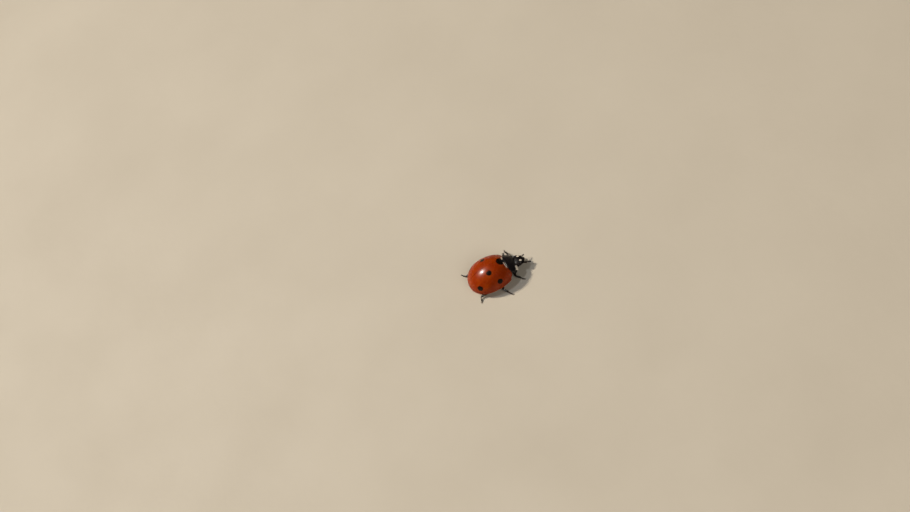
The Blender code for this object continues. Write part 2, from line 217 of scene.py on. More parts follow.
def endGeometryTree(geometry, inputs):
    tree = geometry.id_data
    solid = outputOf(tree, "GeometryNodeRealizeInstances", {"Geometry": geometry})
    painted = outputOf(tree, "GeometryNodeSetMaterial", {"Geometry": solid, "Material": inputs["Material"]})
    smooth = outputOf(tree, "GeometryNodeSetShadeSmooth", {"Geometry": painted})
    result = tree.nodes.new("NodeGroupOutput")
    tree.links.new(smooth, result.inputs[0])
    return tree


def stored(geometry, name, value, kind="FLOAT", domain="POINT"):
    tree = geometry.id_data
    inputs = {"Geometry": geometry, "Name": name, "Value": value}
    return outputOf(tree, "GeometryNodeStoreNamedAttribute", inputs, data_type=kind, domain=domain)


def captured(geometry, name, value):
    # keeps a value with the geometry while it is swept
    node = addNode(geometry.id_data, "GeometryNodeCaptureAttribute", {"Geometry": geometry})
    node.capture_items.new("FLOAT", name)
    plug(node.inputs[name], value)
    return node.outputs[0], node.outputs[name]


# ---- helpers for meshes
def addObject(name, data):
    obj = bpy.data.objects.new(name, data)
    bpy.context.scene.collection.objects.link(obj)
    return obj


def intoPlainMesh(obj):
    # the object's mesh as its modifiers leave it; the object itself goes
    depsgraph = bpy.context.evaluated_depsgraph_get()
    mesh = bpy.data.meshes.new_from_object(obj.evaluated_get(depsgraph), depsgraph=depsgraph)
    bpy.data.objects.remove(obj)
    return mesh


def growWith(tree, start, material, **values):
    # runs a geometry tree on a starting mesh and gives back the plain mesh that it makes
    obj = addObject(tree.name, start or bpy.data.meshes.new(tree.name))
    modifier = obj.modifiers.new(tree.name, "NODES")
    modifier.node_group = tree
    values["Material"] = material
    for item in tree.interface.items_tree:
        if item.item_type == "SOCKET" and item.in_out == "INPUT" and item.name in values:
            modifier[item.identifier] = values[item.name]
    return intoPlainMesh(obj)


def subdivided(mesh, levels):
    obj = addObject("rounding", mesh)
    modifier = obj.modifiers.new("rounding", "SUBSURF")
    modifier.levels = modifier.render_levels = levels
    return intoPlainMesh(obj)


def circle(count):
    # the cosine and sine of each step round a circle
    angles = [2 * math.pi * k / count for k in range(count)]
    return [(math.cos(angle), math.sin(angle)) for angle in angles]


def boxier(value, power):
    # squares a circle off, from its cosine or sine
    return math.copysign(abs(value) ** power, value)


def lofted(rings):
    # a closed smooth mesh through rings of points, with a fan over each end
    shape = bmesh.new()
    rows = [[shape.verts.new(point) for point in ring] for ring in rings]
    count = len(rows[0])
    for near, far in zip(rows, rows[1:]):
        for k in range(count):
            following = (k + 1) % count
            shape.faces.new((near[k], near[following], far[following], far[k]))
    for row in (rows[0], rows[-1]):
        tip = shape.verts.new(sum((v.co for v in row), Vector()) / count)
        for k in range(count):
            shape.faces.new((row[k], row[(k + 1) % count], tip))
    bmesh.ops.remove_doubles(shape, verts=shape.verts[:], dist=mergeGap / 2)
    bmesh.ops.recalc_face_normals(shape, faces=shape.faces[:])
    mesh = bpy.data.meshes.new("part")
    shape.to_mesh(mesh)
    shape.free()
    mesh.shade_smooth()
    return mesh


def turnOutwards(mesh, sharpest=None):
    # faces point outwards, and edges that turn by more than sharpest degrees stay crisp
    shape = bmesh.new()
    shape.from_mesh(mesh)
    bmesh.ops.recalc_face_normals(shape, faces=shape.faces[:])
    shape.to_mesh(mesh)
    shape.free()
    if sharpest:
        mesh.set_sharp_from_angle(angle=math.radians(sharpest))
    return mesh


def joined(meshes, name):
    # several meshes as one, keeping their materials and maps
    objects = [addObject(name, mesh) for mesh in meshes]
    first = objects[0]
    with bpy.context.temp_override(
        active_object=first, object=first, selected_objects=objects, selected_editable_objects=objects
    ):
        bpy.ops.object.join()
    mesh = first.data
    bpy.data.objects.remove(first)
    return mesh


def finishPiece(name, mesh, replaces=(), material=None):
    # sets a mesh modelled in body millimetres into the frame as one piece
    for corner in mesh.vertices:
        corner.co.z = max(corner.co.z, 0.0)  # soles and hairs lie flat on the floor
    mesh.transform(intoFrame)
    mesh.name = name
    if material:
        mesh.materials.clear()
        mesh.materials.append(material)
    piece = addObject(name, mesh)
    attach(piece, "root")
    if replaces:
        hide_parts(*replaces)
    print(f"{name}: {sum(len(p.vertices) - 2 for p in mesh.polygons)} triangles")


# ---- reading the frame's solids
centreLook = {"stations": 7, "endShare": 0.04, "meeting": 0.12}


def solidPoints(node):
    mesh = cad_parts[node].data
    mesh.calc_loop_triangles()
    points = np.array([toBody(v.co) for v in mesh.vertices])
    faces = np.array([t.vertices[:] for t in mesh.loop_triangles])
    return points, faces


def sectionMiddle(points, faces, place, along):
    # the middle of the outline that a plane cuts from a solid
    depth = (points - place) @ along
    total, weight = np.zeros(3), 0.0
    for face in faces:
        ends = []
        for a, b in zip(face, np.roll(face, -1)):
            if (depth[a] > 0) != (depth[b] > 0):
                ends.append(points[a] + (points[b] - points[a]) * depth[a] / (depth[a] - depth[b]))
        if len(ends) == 2:
            length = np.linalg.norm(ends[1] - ends[0])
            total += (ends[0] + ends[1]) / 2 * length
            weight += length
    return Vector(total / weight) if weight else None


def centreLine(node, start):
    # the middle line of a long solid, from its end nearest to start
    points, faces = solidPoints(node)
    near = points[np.argmin(np.linalg.norm(points - np.array(start), axis=1))]
    far = points[np.argmax(np.linalg.norm(points - near, axis=1))]
    along = (far - near) / np.linalg.norm(far - near)
    end, steps = centreLook["endShare"], centreLook["stations"] - 1
    shares = [end + (1 - 2 * end) * k / steps for k in range(steps + 1)]
    middles = [sectionMiddle(points, faces, near + (far - near) * share, along) for share in shares]
    return [m for m in middles if m]


def jointBetween(nodeA, nodeB):
    # where two limb solids meet: the middle of the points of each that lie close to the other
    pointsA, pointsB = solidPoints(nodeA)[0], solidPoints(nodeB)[0]
    gaps = np.linalg.norm(pointsA[:, None] - pointsB[None], axis=2)
    closeA = np.unique(pointsA[gaps.min(axis=1) < centreLook["meeting"]].round(4), axis=0)
    closeB = np.unique(pointsB[gaps.min(axis=0) < centreLook["meeting"]].round(4), axis=0)
    return Vector((closeA.mean(axis=0) + closeB.mean(axis=0)) / 2)


def farEnd(node, start):
    points = solidPoints(node)[0]
    return Vector(points[np.argmax(np.linalg.norm(points - np.array(start), axis=1))])


# ---- materials: the coordinates are millimetres about the middle of the body
def newShader(name, onBody=True):
    material = bpy.data.materials.new(name)
    material.use_nodes = True
    tree = material.node_tree
    where = addNode(tree, "ShaderNodeTexCoord").outputs["Object"]
    if onBody:  # the floor keeps its own coordinates, in metres
        inputs = {"Vector": where, "Scale": (1 / mm, 1 / mm, 1 / mm), "Location": -middleOfBody}
        where = outputOf(tree, "ShaderNodeMapping", inputs)
    return material, where


def dressShader(colour, roughness, values, height=None, depth=0.0):
    # colour, roughness and bumps come from nodes; the other values are set on the shader itself
    tree = colour.id_data
    shader = tree.nodes["Principled BSDF"]
    plug(shader.inputs["Base Color"], colour)
    plug(shader.inputs["Roughness"], roughness)
    for key, value in values.items():
        shader.inputs[key].default_value = value
    if height:
        inputs = {"Height": height, "Strength": 1.0, "Distance": depth * mm}
        plug(shader.inputs["Normal"], outputOf(tree, "ShaderNodeBump", inputs))


def mixColours(share, first, second):
    first, second = ((*c, 1.0) if isinstance(c, tuple) else c for c in (first, second))
    inputs = {"Factor": share, "A": first, "B": second}
    return addNode(share.tree, "ShaderNodeMix", inputs, data_type="RGBA").outputs["Result"]


def noise(where, scale, detail=3.0, roughness=0.55):
    inputs = {"Vector": where, "Scale": scale, "Detail": detail, "Roughness": roughness}
    return Field(outputOf(where.id_data, "ShaderNodeTexNoise", inputs))


def punctures(where, scale, width=0.30):
    # 1 in each small pit of a shell and 0 between them
    inputs = {"Vector": where, "Scale": scale, "Randomness": 0.85}
    node = addNode(where.id_data, "ShaderNodeTexVoronoi", inputs)
    return 1.0 - smoothBetween(Field(node.outputs["Distance"]), width * 0.3, width)


def domeHalfWidth(y, inset=0.0):
    w = wingCase
    ahead = y - w["widest"] * w["length"]
    if ahead > 0:
        span, power = w["frontSpan"] * w["length"] - w["frontInset"] * inset, w["frontPower"]
    else:
        span, power = w["rearSpan"] * w["length"] - inset, w["rearPower"]
    return (w["width"] / 2 - inset) * roundFall(ahead / span, power)


def domeHeight(y, inset=0.0):
    w = wingCase
    ahead = y - w["highest"] * w["length"]
    if ahead > 0:
        span = w["profileFront"] * w["length"] - w["frontInset"] * inset
    else:
        span = w["profileRear"] * w["length"] - inset
    return (w["height"] - inset) * roundFall(ahead / span, w["domePower"])


def onDome(x, y):
    # the point of the wing cases' outer face above a place in plan; the shoulders turn down to the front
    w = wingCase
    shareOut = abs(x) / domeHalfWidth(y)
    drop = w["shoulderDrop"] * shareOut**2 * math.exp((y - w["shoulderPlace"]) / w["shoulderReach"])
    rise = domeHeight(y) * roundFall(shareOut, w["domePower"]) * (1.0 - drop)
    return Vector((x, y, w["marginHeight"] + rise))


caseFinish = {
    "red": (0.290, 0.028, 0.0006),
    "orange": (0.370, 0.048, 0.0007),
    "deepRed": (0.180, 0.014, 0.0006),
    "seamRed": (0.070, 0.007, 0.0005),
    # the colour of the painted highlight along the flared edge
    "paintedRimHighlight": (0.55, 0.13, 0.030),
    "spot": (0.007, 0.004, 0.002),
    "pale": (0.95, 0.74, 0.58),
    # the band of painted shade: darker red over the dome's lower sides
    "paintedShadeBand": (0.05, 0.90),   # heights over the margin, in millimetres
    # the band of the painted highlight along the flared edge, as heights over the margin
    "paintedRimHighlightBand": (0.045, 0.070),
    "seamBand": (0.008, 0.026),     # distances from the seam
    "spots": [          # places in shares of the length, with a size in millimetres
        (0.0, 0.400, 0.53),
        (0.178, 0.047, 0.330),
        (-0.238, 0.040, 0.300),
        (0.386, 0.196, 0.345),
        (-0.386, 0.196, 0.340),
        (0.310, -0.294, 0.370),
        (-0.310, -0.294, 0.360),
    ],
    "spotEdge": 0.035,
    "spotWander": 0.15,
    "markDepth": 0.17,
    "markEdge": 0.03,
    "markEnd": 0.80,
    "markFade": 0.20,
    "markShorter": 0.20,    # on the left
    "neck": (0.20, 0.27),   # between the pale marks
    "neckFront": (2.10, 2.20),
    "roughness": 0.22,
    "pits": 17.0,       # per millimetre
    "pitDepth": 0.0011,
    "shader": {
        "IOR": 1.50, "Specular IOR Level": 0.11, "Coat Weight": 0.09, "Coat Roughness": 0.08,
        "Subsurface Weight": 0.10, "Subsurface Radius": (0.0003, 0.0001, 0.00003), "Subsurface Scale": 0.6,
    },
}


def caseSpots(where):
    # one spot shared round the scutellum and three on each case, with uneven edges
    tree = where.id_data
    f = caseFinish
    wander = addNode(tree, "ShaderNodeTexNoise", {"Vector": where, "Scale": 3.2, "Detail": 3.0})
    centred = vectorMath("SUBTRACT", wander.outputs["Color"], (0.5, 0.5, 0.5))
    warped = vectorMath("ADD", where, vectorMath("SCALE", centred, f["spotWander"]))
    spotted = None
    for across, forward, size in f["spots"]:
        centre = onDome(across * wingCase["length"], forward * wingCase["length"])
        gap = addNode(tree, "ShaderNodeVectorMath", {0: warped, 1: centre}, operation="DISTANCE")
        reach = Field(gap.outputs["Value"])
        spot = 1.0 - smoothBetween(reach, size - f["spotEdge"], size + f["spotEdge"])
        spotted = spotted.most(spot) if spotted else spot
    return spotted


def caseMarks(where, x, y):
    # the pale marks on each side of the scutellum, along the front edge
    f, w = caseFinish, wingCase
    lead = (x.size() / domeHalfWidth(w["length"] / 2)) ** w["edgeLeadPower"] * w["edgeLead"]
    behindEdge = lead + w["length"] / 2 + w["edgeStart"] - y + noise(where, 6.0) * 0.05
    mark = 1.0 - smoothBetween(behindEdge, f["markDepth"] - f["markEdge"], f["markDepth"] + f["markEdge"])
    markEnd = f["markEnd"] - (0.0 - x).above(0.0) * f["markShorter"]
    return mark * (1.0 - smoothBetween(x.size(), markEnd, markEnd + f["markFade"]))


def makeCaseShell():
    f = caseFinish
    material, where = newShader("redShell")
    x, y, z = separated(where)
    aboveMargin = z - wingCase["marginHeight"]
    pits = punctures(where, f["pits"])
    beside = smoothBetween(x.size(), *f["neck"])
    layers = [
        (smoothBetween(noise(where, 0.9, 4.0), 0.35, 0.75), "orange"),
        # painted shade: darker red towards the margin, on the dome's lower sides
        ((1.0 - smoothBetween(aboveMargin, *f["paintedShadeBand"])) * 0.55, "deepRed"),
        (smoothBetween(noise(where, 26.0, 5.0, 0.7), 0.52, 0.80) * 0.35, "deepRed"),
        (pits * 0.18, "deepRed"),
        ((1.0 - smoothBetween(aboveMargin, *f["paintedRimHighlightBand"])) * 0.45, "paintedRimHighlight"),  # a painted highlight along the flared edge, thin and light
        ((1.0 - smoothBetween(x.size(), *f["seamBand"])) * 0.8, "seamRed"),
        (caseSpots(where), "spot"),
        (caseMarks(where, x, y) * beside, "pale"),
        ((1.0 - beside) * smoothBetween(y, *f["neckFront"]), "spot"),  # black round the scutellum
    ]
    colour = f["red"]
    for share, layer in layers:
        colour = mixColours(share, colour, f[layer])
    roughness = f["roughness"] + noise(where, 2.2, 4.0) * 0.10 + pits * 0.12
    height = noise(where, 5.0, 4.0) * 0.5 + noise(where, 40.0, 3.0) * 0.12 - pits
    dressShader(colour, roughness, f["shader"], height, f["pitDepth"])
    return material


blackFinish = {
    "black": (0.0060, 0.0042, 0.0050),
    "warm": (0.015, 0.009, 0.008),
    "pit": (0.004, 0.003, 0.003),
    "pale": (0.98, 0.87, 0.70),
    "paleShade": (0.82, 0.66, 0.48),
    "pits": 24.0,
}


def makeBlackShell(name, marks=None, roughness=0.26, coat=0.09, pitDepth=0.0017, gloss=0.20):
    # glossy black chitin; marks is a function of the coordinates that gives the share of cream
    f = blackFinish
    material, where = newShader(name)
    colour = mixColours(smoothBetween(noise(where, 1.6, 4.0), 0.40, 0.75), f["black"], f["warm"])
    pits = punctures(where, f["pits"], 0.40)
    if marks:
        cream = mixColours(noise(where, 12.0) * 0.5, f["pale"], f["paleShade"])
        colour = mixColours(marks(where), colour, cream)
    colour = mixColours(pits * 0.35, colour, f["pit"])
    roughness = roughness + noise(where, 7.0, 4.0) * 0.14 + pits * 0.15
    values = {"IOR": 1.50, "Specular IOR Level": gloss, "Coat Weight": coat, "Coat Roughness": 0.16}
    dressShader(colour, roughness, values, noise(where, 30.0, 4.0) * 0.35 - pits, pitDepth)
    return material


def alongField(where):
    return Field(addNode(where.id_data, "ShaderNodeAttribute", attribute_name="along").outputs["Fac"])


def makeLimbSkin(name, dark, light, roughness=0.34):
    # brown-black skin of legs and feelers, changing from dark to light towards each far end
    material, where = newShader(name)
    share = smoothBetween(alongField(where), 0.1, 0.95)
    mottle = noise(where, 9.0, 4.0)
    colour = mixColours(share * 0.75 + mottle * 0.25, dark, light)
    rings = smoothBetween(noise(where, 34.0, 3.0), 0.45, 0.7)
    colour = mixColours(rings * 0.4, colour, tuple(part * 0.5 for part in dark))
    values = {"IOR": 1.50, "Specular IOR Level": 0.22, "Coat Weight": 0.06, "Coat Roughness": 0.25}
    height = noise(where, 48.0, 4.0) + mottle * 0.4
    dressShader(colour, roughness + mottle * 0.15, values, height, 0.004)
    return material


def makeHairSkin(name, root, tip):
    material, where = newShader(name)
    varied = alongField(where) * 0.8 + noise(where, 14.0) * 0.3
    colour = mixColours(varied.held(), root, tip)
    dressShader(colour, 0.36 + noise(where, 20.0) * 0.15, {"IOR": 1.55})
    return material


hardLooks = {
    # clouds are the noise of the colour; the roughness has its least, its spread and the scale of its noise
    "eyeGloss": {
        "dark": (0.004, 0.003, 0.004), "light": (0.022, 0.012, 0.010), "clouds": (6.0, 3.0),
        "roughness": (0.10, 0.12, 18.0), "bumps": 60.0,
        "shader": {"Specular IOR Level": 0.22, "Coat Weight": 0.10, "Coat Roughness": 0.08},
    },
    "clawHorn": {
        "dark": (0.030, 0.012, 0.005), "light": (0.120, 0.052, 0.018), "clouds": (16.0, 4.0),
        "roughness": (0.36, 0.15, 30.0), "bumps": 70.0,
        "shader": {"Specular IOR Level": 0.25, "Coat Weight": 0.08},
    },
}


def makeHardSkin(name):
    look = hardLooks[name]
    material, where = newShader(name)
    colour = mixColours(noise(where, *look["clouds"]), look["dark"], look["light"])
    least, spread, scale = look["roughness"]
    roughness = least + noise(where, scale) * spread
    dressShader(colour, roughness, look["shader"], noise(where, look["bumps"]), 0.0015)
    return material


# ---- the wing cases
def makeCaseTree():
    # a closed shell over a flat grid: out over the dome, in under the edge, back inside, and up the seam
    w = wingCase
    sizes = {
        "Side": 1.0, "Length": w["length"], "Width": w["width"], "Height": w["height"],
        "Margin Height": w["marginHeight"], "Shell": w["shell"], "Seam": w["seam"],
        "Rows": w["rows"], "Columns": w["columns"], "Rim Depth": w["rimDepth"], "Rim Place": w["rimPlace"],
        "Rim Width": w["rimWidth"],
    }
    tree, given = newGeometryTree("wingCase", sizes)
    cells = {"Size X": 1.0, "Size Y": 1.0, "Vertices X": given["Rows"], "Vertices Y": given["Columns"]}
    grid = outputOf(tree, "GeometryNodeMeshGrid", cells)
    gridX, gridY = separated(outputOf(tree, "GeometryNodeInputPosition"))[:2]
    down = (gridX + 0.5) * (1 + w["lip"]) - w["lip"]
    around = (gridY + 0.5) * 4.0
    back = down.most(0.0)
    lip = (down * -1.0).most(0.0) / w["lip"]

    outward = around.least(3.0 - around).held()
    outward = 1.0 - (1.0 - outward) ** w["crowding"]
    shareOut = (outward * (math.pi / 2)).sine()
    shareBack = (back * (math.pi / 2)).sine() * 0.9995
    insetShare = (around - 1.0).held().least((4.0 - around).held())
    insetShare = insetShare + (0.5 - insetShare) * lip
    inset = given["Shell"] * insetShare

    length = given["Length"]
    sweep = shareOut ** w["edgeLeadPower"] * w["edgeLead"] + w["edgeStart"]
    sweep = sweep - shareOut ** w["edgeRoundingPower"] * w["edgeRounding"]
    y = length / 2.0 - (length - inset) * shareBack + sweep * (1.0 - shareBack) ** 3.0

    ahead = y.above(length * w["widest"])
    span = length * w["rearSpan"] - inset
    span = span + ahead * (length * w["frontSpan"] - inset * w["frontInset"] - span)
    power = ahead * (w["frontPower"] - w["rearPower"]) + w["rearPower"]
    halfWidth = (given["Width"] / 2.0 - inset) * roundFall((y - length * w["widest"]) / span, power)

    rising = y.above(length * w["highest"])
    run = length * w["profileRear"] - inset
    run = run + rising * (length * w["profileFront"] - inset * w["frontInset"] - run)
    height = (given["Height"] - inset) * roundFall((y - length * w["highest"]) / run, w["domePower"])

    turnDown = ((y - w["shoulderPlace"]) / w["shoulderReach"]).exponent() * w["shoulderDrop"]
    z = height * roundFall(shareOut, w["domePower"]) * (1.0 - shareOut * shareOut * turnDown)
    outer = 1.0 - insetShare.above(0.01)
    groove = hill((z - given["Rim Place"]) / given["Rim Width"]) * given["Rim Depth"] * outer
    groove = groove * smoothBetween(1.0 - shareBack, 0.0, 0.05)
    underneath = (around - 1.0).held() * (2.0 - around).held() * 4.0
    z = z + underneath * w["hollow"] * smoothBetween(1.0 - shareBack, 0.0, 0.2)
    x = (given["Seam"] / 2.0 + (halfWidth - given["Seam"] / 2.0) * shareOut - groove) * given["Side"]

    point = combined(x, y, z + given["Margin Height"])
    moved = outputOf(tree, "GeometryNodeSetPosition", {"Geometry": grid, "Position": point})
    closed = outputOf(tree, "GeometryNodeMergeByDistance", {"Geometry": moved, "Distance": mergeGap})
    return endGeometryTree(closed, given)


def makeWingCases(redShell):
    tree = makeCaseTree()
    for word, side in sides.items():
        mesh = turnOutwards(growWith(tree, None, redShell, Side=float(side)), sharpest=50)
        finishPiece("wing_case_" + word, mesh, ["elytron_" + word])


scutellum = {
    "rise": 0.014,
    "lift": 0.004,
    "depth": 0.16,
    "reach": 0.035,     # past the front edge of the wing cases
    "bend": 0.10,       # the front edge turns down
    "bendStart": 0.85,
    "rings": 30,
    "sides": 40,
}


def makeScutellum(material):
    # the small triangle between the bases of the wing cases
    s = scutellum
    low, high = bodyBox("scutellum")
    halfWidth = (high.x - low.x) / 2
    front = wingCase["length"] / 2 + wingCase["edgeStart"] + s["reach"]
    rings = []
    for k in range(s["rings"] + 1):
        share = k / s["rings"]
        y = low.y + (front - low.y) * share
        width = halfWidth * (0.03 + 0.97 * roundFall(1.0 - share, 1.3))
        bend = s["bend"] * max(0.0, (share - s["bendStart"]) / (1 - s["bendStart"])) ** 2
        ring = []
        for across, up in circle(s["sides"]):
            x, up = width * across, boxier(up, 0.6)
            thick = up * (s["rise"] if up > 0 else s["depth"]) * min(1.0, 0.25 + 2 * share)
            ring.append((x, y, onDome(x, y).z + s["lift"] + thick - bend))
        rings.append(ring)
    finishPiece("scutellum_plate", lofted(rings), ["scutellum"], material)


# ---- the pronotum
shieldLow, shieldHigh = bodyBox("pronotum")
shield = {
    "halfWidth": (shieldHigh.x - shieldLow.x) / 2,
    "shift": (shieldHigh.x + shieldLow.x) / 2,
    "widest": 3.05,
    "rearReach": 0.50,
    "frontReach": 0.86,
    "notch": 0.27,
    "notchWidth": 0.55,
    "rearTop": shieldHigh.z,
    "fall": 0.80,
    "marginTop": 1.45,
    "marginFall": 0.50,
    "rearThickness": 0.45,
    "frontThickness": 0.25,
    "stations": 90,
    "sides": 60,
    "markFront": (3.55, 3.62),  # the cream corners
    "markInner": 0.69,
    "markNarrower": 0.41,       # on the left
    "markOuter": (1.30, 1.37),
    "markLow": (1.02, 1.10),
}


def shieldSection(across):
    # a fore-and-aft section of the pronotum, at a share of its half-width from the middle
    s = shield
    rearMiddle = s["widest"] - s["rearReach"]
    frontMiddle = s["widest"] + s["frontReach"] - s["notch"]
    rear = s["widest"] - s["rearReach"] * roundFall(across, 2.3)
    notch = s["notch"] * hill(across / s["notchWidth"])
    front = s["widest"] + s["frontReach"] * roundFall(across, 3.2) - notch
    ring = []
    for along, up in circle(s["sides"]):
        along, up = boxier(along, 0.7), boxier(up, 0.7)
        y = (front + rear) / 2 + (front - rear) / 2 * along
        forward = max(0.0, (y - rearMiddle) / (frontMiddle - rearMiddle))
        ridge = s["rearTop"] - s["fall"] * forward**1.2
        margin = s["marginTop"] - s["marginFall"] * forward
        top = margin + (ridge - margin) * roundFall(across, 2.3)
        thinning = (s["rearThickness"] - s["frontThickness"]) * min(1.0, forward)
        thickness = (s["rearThickness"] - thinning) * (1 - 0.3 * across**2)
        ring.append((s["shift"] + s["halfWidth"] * across, y, top - thickness / 2 + thickness / 2 * up))
    return ring


def shieldMarks(where):
    # cream in the front corners
    s = shield
    x, y, z = separated(where)
    x = x - s["shift"]
    wobble = noise(where, 3.4) * 0.24 - 0.04
    outward = x.size() + wobble
    inner = s["markInner"] + (0.0 - x).above(0.0) * s["markNarrower"]
    front = smoothBetween(y + wobble + (x.size() - 0.95) * 0.30, *s["markFront"])
    beside = smoothBetween(outward, inner, inner + 0.08) * (1.0 - smoothBetween(outward, *s["markOuter"]))
    return front * beside * smoothBetween(z, *s["markLow"])


def makePronotum(material):
    count = shield["stations"]
    shares = [math.sin(math.pi / 2 * (2 * k / count - 1)) * 0.9985 for k in range(count + 1)]
    mesh = lofted([shieldSection(share) for share in shares])
    finishPiece("pronotum_shield", mesh, ["pronotum"], material)


# ---- limbs: tubes along a line, plain or in beads
def makeLimbTree():
    sizes = {
        "Root Radius": 0.1, "Tip Radius": 0.1, "Bulge": 0.0, "Club": 0.0, "Club Start": 0.7,
        "Joints": 1, "Waist": 1.0, "Flatness": 1.0, "End Sharpness": 14.0, "Steps": 12, "Sides": 14,
        "Tile X": 0.0, "Tile Y": 0.0, "Tile Size": 0.2,
    }
    tree, given = newGeometryTree("limb", sizes)
    line = outputOf(tree, "GeometryNodeMeshToCurve", {"Mesh": given["Geometry"]})
    line = outputOf(tree, "GeometryNodeCurveSplineType", {"Curve": line}, spline_type="CATMULL_ROM")
    line = outputOf(tree, "GeometryNodeSetSplineResolution", {"Geometry": line, "Resolution": 16})
    count = given["Joints"] * given["Steps"] + 1.0
    line = outputOf(tree, "GeometryNodeResampleCurve", {"Curve": line, "Count": count})
    line = outputOf(tree, "GeometryNodeSetCurveNormal", {"Curve": line}, mode="Z_UP")
    share = Field(addNode(tree, "GeometryNodeSplineParameter").outputs["Factor"])
    line, along = captured(line, "along", share)

    radius = given["Root Radius"] + (given["Tip Radius"] - given["Root Radius"]) * share
    radius = radius + given["Bulge"] * share * (1.0 - share) * 4.0
    radius = radius + given["Club"] * smoothBetween(share, given["Club Start"], given["Club Start"] + 0.12)
    bead = ((share * given["Joints"] * 0.9999).fraction() * 2.0 - 1.0).size()
    radius = radius * (given["Waist"] + (1.0 - given["Waist"]) * roundFall(bead, 2.4))
    radius = radius * roundFall(share * 2.0 - 1.0, given["End Sharpness"])

    ring = outputOf(tree, "GeometryNodeCurvePrimitiveCircle", {"Radius": 1.0, "Resolution": given["Sides"]})
    turn = addNode(tree, "GeometryNodeSplineParameter").outputs["Factor"]
    ring, around = captured(ring, "round", turn)
    flat = combined(given["Flatness"], 1.0, 1.0)
    oval = outputOf(tree, "GeometryNodeTransform", {"Geometry": ring, "Scale": flat})
    sweep = {"Curve": line, "Profile Curve": oval, "Scale": radius, "Fill Caps": True}
    tube = outputOf(tree, "GeometryNodeCurveToMesh", sweep)
    closed = outputOf(tree, "GeometryNodeMergeByDistance", {"Geometry": tube, "Distance": mergeGap})
    toned = stored(closed, "along", along)
    u = Field(along) * given["Tile Size"] + given["Tile X"]
    v = Field(around) * given["Tile Size"] + given["Tile Y"]
    mapped = stored(toned, "skinPlace", combined(u, v, 0.0), "FLOAT_VECTOR")
    return endGeometryTree(mapped, given)


def tileAt(x, y, size):
    # where a skin lies on the hairs' map
    return {"Tile X": x, "Tile Y": y, "Tile Size": size}


def growLimb(points, skin, *looks):
    line = bpy.data.meshes.new("line")
    line.from_pydata([tuple(p) for p in points], [(k, k + 1) for k in range(len(points) - 1)], [])
    values = {key: value for look in looks for key, value in look.items()}
    return growWith(limbTree, line, skin, **values)


# ---- hairs: thin bent cones that lean along the skin, in one joined mesh
hairLooks = {
    # hairs per square millimetre, length, thickness, and how far they lean
    "thigh": (55.0, 0.10, 0.003, 1.1),
    "shin": (170.0, 0.12, 0.0035, 0.9),
    "pads": (230.0, 0.075, 0.003, 0.9),
    "feeler": (420.0, 0.05, 0.0022, 1.0),
    "head": (42.0, 0.075, 0.0025, 1.3),
    "plates": (26.0, 0.09, 0.0028, 1.5),
    "prothorax": (26.0, 0.08, 0.0028, 1.2),
}


def makeHairTree():
    sizes = {
        "Density": 60.0, "Length": 0.1, "Thickness": 0.004, "Lean": 1.0, "Bend": 0.35, "Seed": 1,
        "Tile Size": 0.003,
    }
    tree, given = newGeometryTree("hairs", sizes, ["Lie"])
    spacing = {"Mesh": given["Geometry"], "Density": given["Density"], "Seed": given["Seed"]}
    scatter = addNode(tree, "GeometryNodeDistributePointsOnFaces", spacing)
    leaning = vectorMath("SCALE", given["Lie"], given["Lean"])
    limits = {"Min": (-0.25, -0.25, -0.25), "Max": (0.25, 0.25, 0.25), "Seed": 5}
    jitter = outputOf(tree, "FunctionNodeRandomValue", limits, data_type="FLOAT_VECTOR")
    upAndOver = vectorMath("ADD", scatter.outputs["Normal"], leaning)
    heading = {"Vector": vectorMath("ADD", upAndOver, jitter)}
    turned = outputOf(tree, "FunctionNodeAlignRotationToVector", heading, axis="Z")

    length = given["Length"]
    shape = {
        "Vertices": 4, "Side Segments": 4, "Radius Top": 0.0, "Radius Bottom": given["Thickness"],
        "Depth": length,
    }
    cone = outputOf(tree, "GeometryNodeMeshCone", shape)
    up = separated(outputOf(tree, "GeometryNodeInputPosition"))[2] / length
    offset = combined(up * up * given["Bend"] * length, 0.0, length * -0.06)
    bent = outputOf(tree, "GeometryNodeSetPosition", {"Geometry": cone, "Offset": offset})
    growth = addNode(tree, "FunctionNodeRandomValue", {"Min": 0.55, "Max": 1.1, "Seed": 9}, data_type="FLOAT")
    size = Field(growth.outputs["Value"])
    planted = {
        "Points": scatter.outputs["Points"], "Instance": stored(bent, "along", up),
        "Rotation": turned, "Scale": combined(size, size, size),
    }
    placed = outputOf(tree, "GeometryNodeInstanceOnPoints", planted)
    solid = outputOf(tree, "GeometryNodeRealizeInstances", {"Geometry": placed})

    # each hair has a small patch of the map, at its root's place
    root = outputOf(tree, "GeometryNodeInputNamedAttribute", {"Name": "skinPlace"}, data_type="FLOAT_VECTOR")
    tone = outputOf(tree, "GeometryNodeInputNamedAttribute", {"Name": "along"}, data_type="FLOAT")
    corner = Field(outputOf(tree, "GeometryNodeInputIndex"))
    spread = (corner / 4.0).fraction() * given["Tile Size"]
    patch = combined(Field(tone) * given["Tile Size"], spread, 0.0)
    mapped = stored(solid, "OFBake", vectorMath("ADD", root, patch), "FLOAT2", "CORNER")
    return endGeometryTree(mapped, given)


def growHairs(skin, look, lie, seed):
    density, length, thickness, lean = hairLooks[look]
    return growWith(
        hairTree, skin.copy(), hairSkin, Density=density, Length=length, Thickness=thickness, Lean=lean,
        Seed=seed, Lie=tuple(lie),
    )


